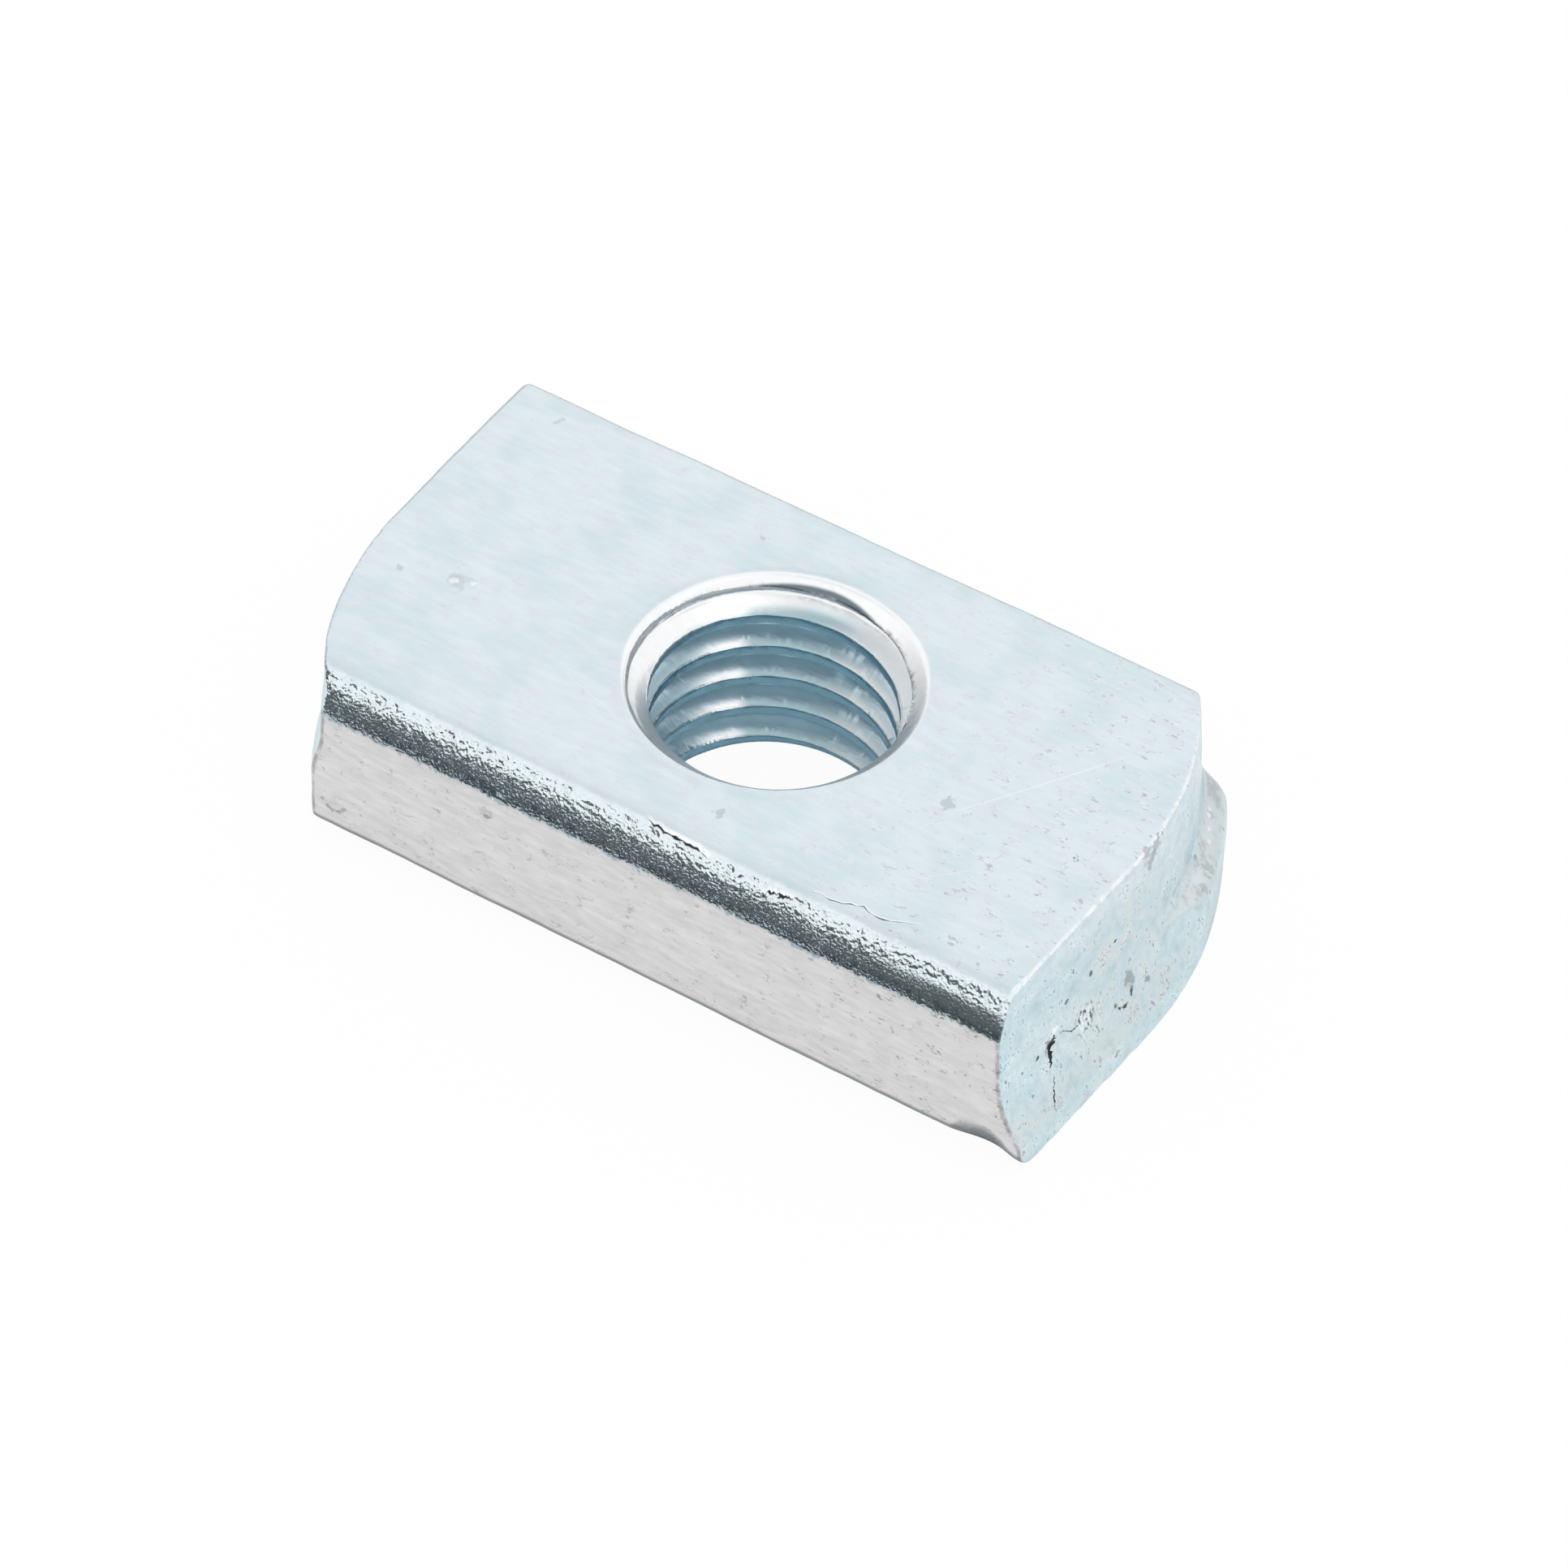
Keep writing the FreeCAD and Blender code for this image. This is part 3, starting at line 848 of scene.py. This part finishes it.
    def groove_mask(self, from_axis: Socket, turn: Socket, behind: Socket) -> Socket:
        """Find the painted shade in the tool's run-out cut round the back of the countersink, thickest
        at the right.

        Args:
            from_axis: The distance from the bore's axis, in millimetres.
            turn: How far to the picture's left of the axis, from -1 to 1.
            behind: How far to the picture's back of the axis, in millimetres.

        Returns:
            The mask of that painted shade.
        """
        line = self.ramp(turn, -0.95, -0.35, 5.5, 5.83)
        thick = self.product(self.ramp(turn, -0.95, -0.5), self.ramp(turn, 0.3, -0.25))
        off = self.math("SUBTRACT", self.apart(from_axis, line), self.product(thick, 0.1))
        return self.product(self.ramp(off, 0.07, -0.06), self.ramp(behind, 0.5, 2.0),
                            self.ramp(turn, 0.8, 0.5), self.ramp(turn, -1.0, -0.85))

    def lap_masks(self, lap: Lap) -> tuple[Socket, Socket]:
        """Find one crack and the bright lip beside it.

        Args:
            lap: The crack.

        Returns:
            The crack's mask and its lip's.
        """
        parts = self.split(self.place)
        start, end = lap.route[0][0], lap.route[-1][0]
        inputs = {"Value": parts[lap.run.value], "From Min": start, "From Max": end}
        share = self.add("ShaderNodeMapRange", inputs).outputs["Result"]
        middle, half = lap.crooked()
        low, span, widest = middle.min(), np.ptp(middle), half.max()
        centre = self.math("MULTIPLY_ADD", self.curve(share, (middle - low) / span), span, low)
        reach = self.math("MULTIPLY_ADD", self.curve(share, half / widest), widest + lap.fade,
                          -lap.fade)
        offset = self.math("SUBTRACT", parts[lap.across.value], centre)
        gap = self.math("SUBTRACT", self.math("ABSOLUTE", offset), reach)
        outward = tuple(abs(part) for part in lap.side.value)
        there = self.ramp(self.measure("DOT_PRODUCT", self.place, outward), 7.0, 8.0)
        crack = self.product(self.ramp(gap, lap.fade, -0.4 * lap.fade), there)
        beyond = self.math("SUBTRACT", offset, reach)
        lip = self.product(self.ramp(beyond, lap.lip, 0.4 * lap.lip),
                           self.ramp(offset, 0.0, lap.fade),
                           self.ramp(reach, -lap.fade, 0.0), there)
        return crack, lip

    def blotch(self, stain: Stain) -> Socket:
        """Find one stain.

        Args:
            stain: The stain.

        Returns:
            Its mask.
        """
        distance = self.measure("DISTANCE", self.place, stain.place)
        uneven = self.math("ADD", distance, self.product(self.ragged, 2.4 * stain.reach))
        return self.ramp(uneven, stain.reach, 0.75 * stain.reach, 0.0, stain.strength)

    def circle(self, ring: Stain) -> Socket:
        """Find the painted shade on the lower half of one round dent's broken rim.

        Args:
            ring: The rim's painted shade.

        Returns:
            Its mask.
        """
        offset = self.vector("SUBTRACT", self.place, ring.place)
        lower = self.ramp(self.split(offset)["Z"], 0.0, -0.3)
        off = self.apart(self.measure("LENGTH", offset), ring.reach)
        uneven = self.total(off, self.product(self.ragged, -0.5))
        return self.product(self.ramp(uneven, 0.08, 0.0, 0.0, ring.strength), lower)

    def scored(self, scratch: Scratch) -> Socket:
        """Find one scratch, a slightly bent line that fades at both ends.

        Args:
            scratch: The scratch.

        Returns:
            Its mask.
        """
        start = Vector((*scratch.start, 0.0))
        run = Vector((*scratch.end, 0.0)) - start
        unit = run.normalized()
        offset = self.vector("SUBTRACT", self.place, start)
        along = self.measure("DOT_PRODUCT", offset, unit)
        across = self.measure("DOT_PRODUCT", offset, (-unit.y, unit.x, 0.0))
        bend = self.product(along, self.math("SUBTRACT", along, run.length), 0.004)
        return self.product(
            self.ramp(self.apart(across, bend), scratch.width, 0.3 * scratch.width),
            self.ramp(along, 0.0, 0.3 * run.length),
            self.ramp(along, run.length, 0.7 * run.length), scratch.strength)

    def bore_colour(self) -> Socket:
        """Colour the thread: painted shade between the crests, a painted highlight brightest at the
        left, and warm painted light at the right.

        Returns:
            The bore's colour.
        """
        finish, turn = self.finish, self.mask["turn"]
        # Painted highlight on the left of the bore
        shine = self.product(self.ramp(turn, 0.18, 0.32), self.ramp(turn, 0.75, 0.45))
        light = self.blend(shine, finish.bore_lit, finish.white)
        # Warm painted light on the right of the bore
        light = self.blend(self.ramp(turn, -0.3, -0.7), light, finish.bore_rosy_lit)
        # Painted shade round the crests, with paler roots; the up-facing flanks take the painted lit
        # copy
        dark = self.blend(self.mask["deep"], finish.bore_shaded, finish.bore_deep)
        return self.blend(self.mask["flank"], dark, light)

    def end_colour(self) -> Socket:
        """Colour the sheared ends, which are warmer round the middle of the right one.

        Returns:
            The ends' colour.
        """
        finish = self.finish
        end = self.blend(self.ramp(self.mottle, 0.42, 0.62), finish.end_cyan, finish.end_tint)
        near = self.ramp(self.measure("DISTANCE", self.place, finish.warm_middle), 5.0, 1.5)
        warm = self.product(self.ramp(self.patches, 0.38, 0.66), near)
        return self.blend(warm, end, finish.end_warm)

    def round_colour(self) -> Socket:
        """Colour the long rounds: bright above, slate below, and painted shade darkest next to the
        crease.

        Returns:
            The long rounds' colour.
        """
        finish, above = self.finish, self.mask["above"]
        tint = self.blend(self.ramp(above, 1.7, 0.0), finish.bright, finish.slate)
        # Painted shade next to the crease
        return self.blend(self.ramp(above, 0.5, 0.15, 0.0, 0.6), tint, finish.shadow)

    def zinc_colour(self) -> Socket:
        """Colour each kind of surface as the plating shows there, with painted shade and highlights at
        some edges and hollows.

        Returns:
            The colour, with no marks yet.
        """
        finish, mask, patches = self.finish, self.mask, self.patches
        colour = self.blend(self.ramp(self.mottle, 0.35, 0.6), finish.cool, finish.pale)
        colour = self.blend(self.ramp(patches, 0.45, 0.62, 0.0, 0.6), colour, finish.rosy)
        colour = self.blend(mask["end"], colour, self.end_colour())
        colour = self.blend(mask["long"], colour, finish.neutral)
        colour = self.blend(mask["grain"], colour, self.round_colour())
        # Painted shade on the rounded vertical corners, in patches
        corner = self.product(mask["corner"], self.ramp(patches, 0.3, 0.6), 0.8)
        colour = self.blend(corner, colour, finish.corner_shade)
        # Painted shadow under the bottom edges
        colour = self.blend(self.product(mask["foot"], 0.75), colour, finish.groove)
        flare = self.product(mask["flare"], self.ramp(patches, 0.35, 0.6, 0.2, 0.8))
        colour = self.blend(flare, colour, finish.end_warm)
        dull = self.product(mask["flare"], self.ramp(patches, 0.52, 0.62), 0.2)
        colour = self.blend(dull, colour, finish.shadow)
        # Painted highlight along the tops of the ends
        colour = self.blend(self.product(mask["shoulder_highlight"], 0.5), colour, finish.pale)
        # Painted highlight on the countersink's lip
        colour = self.blend(mask["lip"], colour, finish.white)
        # Painted highlight on the burr, broken by the patches
        burr_highlight = self.product(mask["burr_highlight"], self.ramp(patches, 0.38, 0.56, 0.45, 1.0))
        colour = self.blend(burr_highlight, colour, finish.white)
        colour = self.blend(mask["bore"], colour, self.bore_colour())
        # Painted shade in the tool's groove
        return self.blend(self.product(mask["groove"], 0.9), colour, finish.groove)

    def pitted(self, colour: Socket) -> Socket:
        """Streak, glint and pit a colour, most of all at the nut's rough right end.

        Args:
            colour: The colour below.

        Returns:
            The worked colour.
        """
        finish, mask, patches = self.finish, self.mask, self.patches
        streak = self.math("SUBTRACT", self.streaks, 0.5)
        swing = self.total(
            self.product(streak, mask["top"], 0.16), self.product(streak, mask["long"], 0.42),
            self.product(self.math("SUBTRACT", patches, 0.5), mask["end"], 0.75), 1.0)
        colour = self.scale(colour, swing)
        rough_end = self.ramp(self.along, 4.0, 15.0)
        glints = self.product(self.ramp(self.apart(self.streaks, 0.53), 0.02, 0.006),
                              self.ramp(patches, 0.5, 0.62), mask["top"], rough_end, 0.55)
        colour = self.blend(glints, colour, finish.white)
        pits = self.product(self.ramp(self.flecks, 0.62, 0.69), self.ramp(patches, 0.48, 0.62))
        wrinkles = self.product(self.ramp(self.math("ABSOLUTE", streak), 0.02, 0.006),
                                self.ramp(patches, 0.52, 0.64))
        plain = self.math("SUBTRACT", 1.0, self.math("MAXIMUM", mask["bore"], mask["grain"]))
        strength = self.total(
            self.product(mask["long"], self.ramp(self.along, 5.0, 15.0, 0.45, 0.75)),
            self.product(mask["end"], 0.8),
            self.product(mask["top"], self.math("MULTIPLY_ADD", rough_end, 0.36, 0.07)))
        hollow = self.product(self.math("MAXIMUM", pits, wrinkles), plain, strength)
        colour = self.blend(hollow, colour, finish.shadow)
        crumble = self.ramp(self.measure("DISTANCE", self.place, finish.crumble_middle), 0.9, 0.3)
        chips = self.product(crumble, self.ramp(self.flecks, 0.42, 0.38), 0.8)
        colour = self.blend(chips, colour, finish.white)
        holes = self.product(crumble, self.ramp(self.flecks, 0.54, 0.58), 0.8)
        return self.blend(holes, colour, finish.soil)

    def marked(self, colour: Socket) -> Socket:
        """Lay stain marks, the dents' painted shade and highlights, scratches and cracks over a colour.

        Args:
            colour: The colour below.

        Returns:
            The marked colour.
        """
        finish = self.finish
        for stain in finish.stains_and_dent_shades:
            colour = self.blend(self.blotch(stain), colour, finish.shade(stain.kind))
        for ring in finish.dent_rim_shades:
            colour = self.blend(self.circle(ring), colour, finish.shade(ring.kind))
        on_top = self.ramp(self.split(self.place)["Z"], 8.6, 8.75)
        for scratch in finish.scratches:
            colour = self.blend(self.product(self.scored(scratch), on_top), colour, finish.white)
        for lap in finish.laps:
            crack, lip = self.lap_masks(lap)
            if lap.lip:
                colour = self.blend(lip, colour, finish.white)
            colour = self.blend(crack, colour, finish.soil)
        return colour

    def roughness(self) -> Socket:
        """Make the long rounds the glossiest, and the rest satin.

        Returns:
            The roughness.
        """
        finish, mask = self.finish, self.mask
        rough = self.ramp(mask["grain"], 0.0, 1.0, finish.face_roughness, finish.grain_roughness)
        in_bore = self.product(mask["bore"], finish.bore_roughness - finish.face_roughness)
        return self.total(rough, in_bore)

    def relief(self) -> Socket:
        """Raise the grain and a low crown on the long rounds, and streaks and patches elsewhere.

        Returns:
            The relief's height, in millimetres.
        """
        finish, mask = self.finish, self.mask
        over = self.math("SUBTRACT", mask["above"], self.ramp(self.along, 8.0, 14.0, 0.0, 0.3))
        crown = self.math("SUBTRACT", self.ramp(over, 0.9, 1.3, 0.0, finish.crown_below),
                          self.ramp(over, 1.3, 1.75, 0.0, finish.crown_above))
        grain = self.product(self.noise(self.place, finish.grain_size), mask["grain"],
                             self.ramp(self.along, 8.0, 15.0, 1.0, 0.6), finish.grain_depth)
        return self.total(grain, self.product(crown, mask["grain"]),
                          self.product(self.streaks, mask["top"], finish.top_relief),
                          self.product(self.patches, mask["end"], finish.end_relief))

    def dress(self) -> None:
        """Feed the colour, roughness and relief to the material's shader."""
        shader = self.nodes["Principled BSDF"]
        self.feed(shader.inputs["Base Color"], self.marked(self.pitted(self.zinc_colour())))
        self.feed(shader.inputs["Roughness"], self.roughness())
        shader.inputs["Metallic"].default_value = 1.0
        bump = self.add("ShaderNodeBump", {"Height": self.relief(), "Distance": MM})
        self.feed(shader.inputs["Normal"], bump.outputs["Normal"])


@dataclass(frozen=True)
class Patch:
    """A part of the tent that is brighter than the rest, or darker where its gain is negative.

    It comes in as a direction nears the one given, between two values of their dot product, and
    where it has bands, it also keeps to those heights.
    """

    towards: Point
    nearness: tuple[float, float]
    gain: float
    bands: tuple[tuple[float, float], ...] = ()


@dataclass
class Studio:
    """The pale floor, the soft light and the camera. Lengths are in millimetres."""

    azimuth: float = 30.459
    elevation: float = 45.417
    roll: float = 2.780
    distance: float = 301.80
    aside: float = 0.654
    above: float = 2.087
    focal_pixels: float = 9068.3
    picture_pixels: float = 1932.0
    sensor: float = 36.0
    floor_width: float = 130.0
    floor_front: float = -26.0
    floor_back: float = 90.0
    shadow_share: float = 0.045
    gloss_share: float = 0.85
    bore_glow: float = 0.4
    contact_length: float = 17.6
    contact_width: float = 9.4
    contact_fade: float = 1.0
    mouth_outer: float = 5.4
    mouth_inner: float = 4.6
    patches: tuple[Patch, ...] = (
        # The dark gap low in front, and the bright belt above it
        Patch((-0.36, -0.93, 0.0), (0.3, 0.6), -0.90, ((0.28, 0.08),)),
        Patch((-0.36, -0.93, 0.0), (0.3, 0.7), 0.1, ((0.2, 0.35), (0.85, 0.6))),
        # The duller roof
        Patch((-0.25, -0.15, 0.957), (0.86, 0.95), -0.13),
        # The dark corner low behind
        Patch((-0.707, 0.707, 0.0), (0.3, 0.7), -0.6, ((0.25, 0.05),)),
        # The soft lamp
        Patch((0.40, 0.08, 0.913), (0.97, 0.992), 0.4),
    )

    def place_camera(self) -> None:
        """Stand the camera where the photograph was taken from."""
        turn, rise, lean = (math.radians(a) for a in (self.azimuth, self.elevation, self.roll))
        back = Vector((math.sin(turn) * math.cos(rise), -math.cos(turn) * math.cos(rise),
                       math.sin(rise)))
        level = Vector((math.cos(turn), math.sin(turn), 0.0))
        upright = back.cross(level)
        right = math.cos(lean) * level + math.sin(lean) * upright
        up = -math.sin(lean) * level + math.cos(lean) * upright
        lens = bpy.data.cameras.new("camera")
        lens.sensor_width = self.sensor
        lens.lens = self.focal_pixels / self.picture_pixels * self.sensor
        lens.clip_start, lens.clip_end = 0.01, 10.0
        camera = bpy.data.objects.new("camera", lens)
        bpy.context.scene.collection.objects.link(camera)
        axes = Matrix((right, up, back)).transposed().to_4x4()
        place = (back * self.distance + right * self.aside + up * self.above) * MM
        camera.matrix_world = Matrix.Translation(place) @ axes
        bpy.context.scene.camera = camera

    def lay_floor(self) -> None:
        """Lay a white glass table top, which ends a little in front of the nut."""
        depth = self.floor_back - self.floor_front
        middle = (self.floor_back + self.floor_front) / 2.0
        bpy.ops.object.select_all(action="DESELECT")
        bpy.ops.mesh.primitive_plane_add(size=1.0, location=(0.0, 0.0, 0.0))
        floor = bpy.context.active_object
        floor.name = "floor"
        for vertex in floor.data.vertices:
            vertex.co.x *= self.floor_width * MM
            vertex.co.y = (vertex.co.y * depth + middle) * MM
        floor.data.materials.append(self.floor_material())

    def floor_material(self) -> bpy.types.Material:
        """Make a white that glows for the camera and in reflections, except under the nut.

        Returns:
            The floor's material.
        """
        made = bpy.data.materials.new("floor_white")
        made.use_nodes = True
        graph = Graph(made.node_tree)
        shader = graph.nodes["Principled BSDF"]
        shader.inputs["Base Color"].default_value = (0.97, 0.97, 0.97, 1.0)
        shader.inputs["Roughness"].default_value = 1.0
        shader.inputs["Specular IOR Level"].default_value = 0.0
        place = graph.add("ShaderNodeTexCoord", {}).outputs["Object"]
        x, y, _ = graph.split(place)
        clear = graph.ramp(graph.measure("LENGTH", place), self.mouth_outer * MM,
                           self.mouth_inner * MM, 0.0, self.bore_glow)
        for offset, half in ((x, self.contact_length), (y, self.contact_width)):
            beside = graph.ramp(graph.math("ABSOLUTE", offset), half * MM,
                                (half + self.contact_fade) * MM)
            clear = graph.math("MAXIMUM", clear, beside)
        path = graph.add("ShaderNodeLightPath", {})
        mirrored = graph.math("MAXIMUM", path.outputs["Is Glossy Ray"],
                              path.outputs["Is Transmission Ray"])
        share = graph.math("MAXIMUM",
                           graph.product(path.outputs["Is Camera Ray"], 1.0 - self.shadow_share),
                           graph.product(mirrored, clear, self.gloss_share))
        glow = graph.add("ShaderNodeEmission", {"Strength": 1.0})
        mix = graph.add("ShaderNodeMixShader", {
            0: share, 1: shader.outputs["BSDF"], 2: glow.outputs["Emission"]})
        graph.feed(graph.nodes["Material Output"].inputs["Surface"], mix.outputs["Shader"])
        return made

    def light(self) -> None:
        """Light the nut from a pale tent, dark at the front below the soft overhead light."""
        world = bpy.data.worlds.new("tent")
        bpy.context.scene.world = world
        world.use_nodes = True
        graph = Graph(world.node_tree)
        way = graph.add("ShaderNodeTexCoord", {}).outputs["Generated"]
        rise = graph.split(way)["Z"]
        strength = 1.0
        for patch in self.patches:
            near = graph.ramp(graph.measure("DOT_PRODUCT", way, patch.towards), *patch.nearness)
            bands = (graph.ramp(rise, *band) for band in patch.bands)
            strength = graph.total(strength, graph.product(near, *bands, patch.gain))
        seen = graph.add("ShaderNodeLightPath", {}).outputs["Is Camera Ray"]
        shown = graph.add("ShaderNodeMix", {"Factor": seen, "A": strength, "B": 1.0})
        graph.feed(graph.nodes["Background"].inputs["Strength"], shown.outputs["Result"])
        graph.nodes["Background"].inputs["Color"].default_value = (1.0, 1.0, 1.0, 1.0)


def main() -> None:
    """Build the nut and its studio, and report each piece."""
    bpy.context.scene.view_settings.view_transform = "Standard"
    studio = Studio()
    studio.place_camera()
    studio.lay_floor()
    studio.light()
    nut = RailNut().build(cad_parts[NODE])
    nut.data.materials.clear()
    nut.data.materials.append(ZincFinish().material())
    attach(nut, BODY)
    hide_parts(NODE)
    LOG.info("%s: %d triangles", nut.name, len(nut.data.polygons))


if __name__ == "__main__":
    main()
